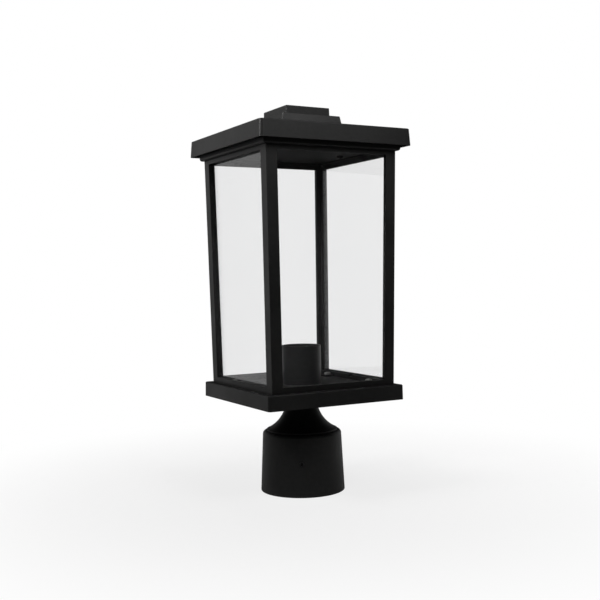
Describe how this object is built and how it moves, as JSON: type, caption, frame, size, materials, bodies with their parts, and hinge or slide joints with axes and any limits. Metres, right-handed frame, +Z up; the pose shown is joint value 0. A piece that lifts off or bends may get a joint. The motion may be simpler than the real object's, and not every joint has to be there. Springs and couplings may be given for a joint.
{
  "type": "post top lantern",
  "caption": "Square outdoor lantern with clear tapered glass sides, a flat stepped roof, a square tray and a flared neck on a round cup that slips over a lamp post.",
  "frame": {"origin": "centre of the post fitter's lower rim, on the axis of the lantern, at its lowest point", "axes": "+Z up along the axis of the post; the four glazed faces are square to X and Y; -Y is the front, the broad face at the right of the picture"},
  "size_m": [0.1688, 0.1688, 0.3914],
  "materials": {
    "black_casting": "die-cast aluminium, satin black powder coat",
    "black_sheet": "drawn and folded aluminium sheet, satin black powder coat",
    "clear_glass": "clear flat glass, ground edges",
    "black_screws": "black oxide steel",
    "zinc_steel": "bright zinc plated steel",
    "brass": "turned brass, lightly dulled",
    "shell_metal": "rolled aluminium screw shell",
    "spring_steel": "bright spring wire",
    "porcelain": "glazed white porcelain",
    "rubber_seal": "black moulded rubber",
    "green_screw": "green passivated steel"
  },
  "bodies": {
    "base": {"post_fitter": "black_casting", "neck": "black_casting", "base_tray": "black_casting", "socket_cup": "black_sheet", "neck_screws": "zinc_steel", "lower_locknut": "zinc_steel", "lower_lockwasher": "zinc_steel", "upper_locknut": "zinc_steel", "upper_lockwasher": "zinc_steel", "holder_strap": "zinc_steel", "holder_screws": "zinc_steel", "thumb_washers": "zinc_steel", "pipe_nipple": "zinc_steel", "thumb_nuts": "brass", "terminal_screws": "brass", "screw_shell": "shell_metal", "contact_spring": "spring_steel", "lampholder_body": "porcelain", "neck_gasket": "rubber_seal", "ground_screw": "green_screw"},
    "cage": {"bottom_frame": "black_casting", "top_frame": "black_casting", "corner_post_front_left": "black_casting", "corner_post_front_right": "black_casting", "corner_post_rear_left": "black_casting", "corner_post_rear_right": "black_casting", "glass_front": "clear_glass", "glass_rear": "clear_glass", "glass_left": "clear_glass", "glass_right": "clear_glass", "post_foot_screws": "zinc_steel", "post_head_screws": "zinc_steel", "ceiling_plate": "black_sheet", "ceiling_screws": "black_screws", "roof_shell": "black_casting", "roof_screws": "zinc_steel", "roof_cap": "black_casting", "cap_washer": "zinc_steel", "cap_screw": "zinc_steel", "cage_bolts": "zinc_steel"},
    "set_screw_a": {"set_screw_1": "black_screws"},
    "set_screw_b": {"set_screw_2": "black_screws"},
    "set_screw_c": {"set_screw_3": "black_screws"},
    "contact": {"centre_contact": "brass"}
  },
  "joints": [
    {"name": "cage_lift", "type": "slide", "parent": "base", "child": "cage", "axis": [0, 0, 1], "range_m": [0, 0.2]},
    {"name": "set_screw_a_turn_in", "type": "slide", "parent": "base", "child": "set_screw_a", "axis": [-1, 0, 0], "range_m": [0, 0.0025]},
    {"name": "set_screw_b_turn_in", "type": "slide", "parent": "base", "child": "set_screw_b", "axis": [0.5, -0.866, 0], "range_m": [0, 0.0025]},
    {"name": "set_screw_c_turn_in", "type": "slide", "parent": "base", "child": "set_screw_c", "axis": [0.5, 0.866, 0], "range_m": [0, 0.0025]},
    {"name": "contact_press", "type": "slide", "parent": "base", "child": "contact", "axis": [0, 0, -1], "range_m": [0, 0.0012], "stiffness_N_per_m": 2500, "springref_m": -0.0003, "deforming": ["contact_spring"]}
  ]
}
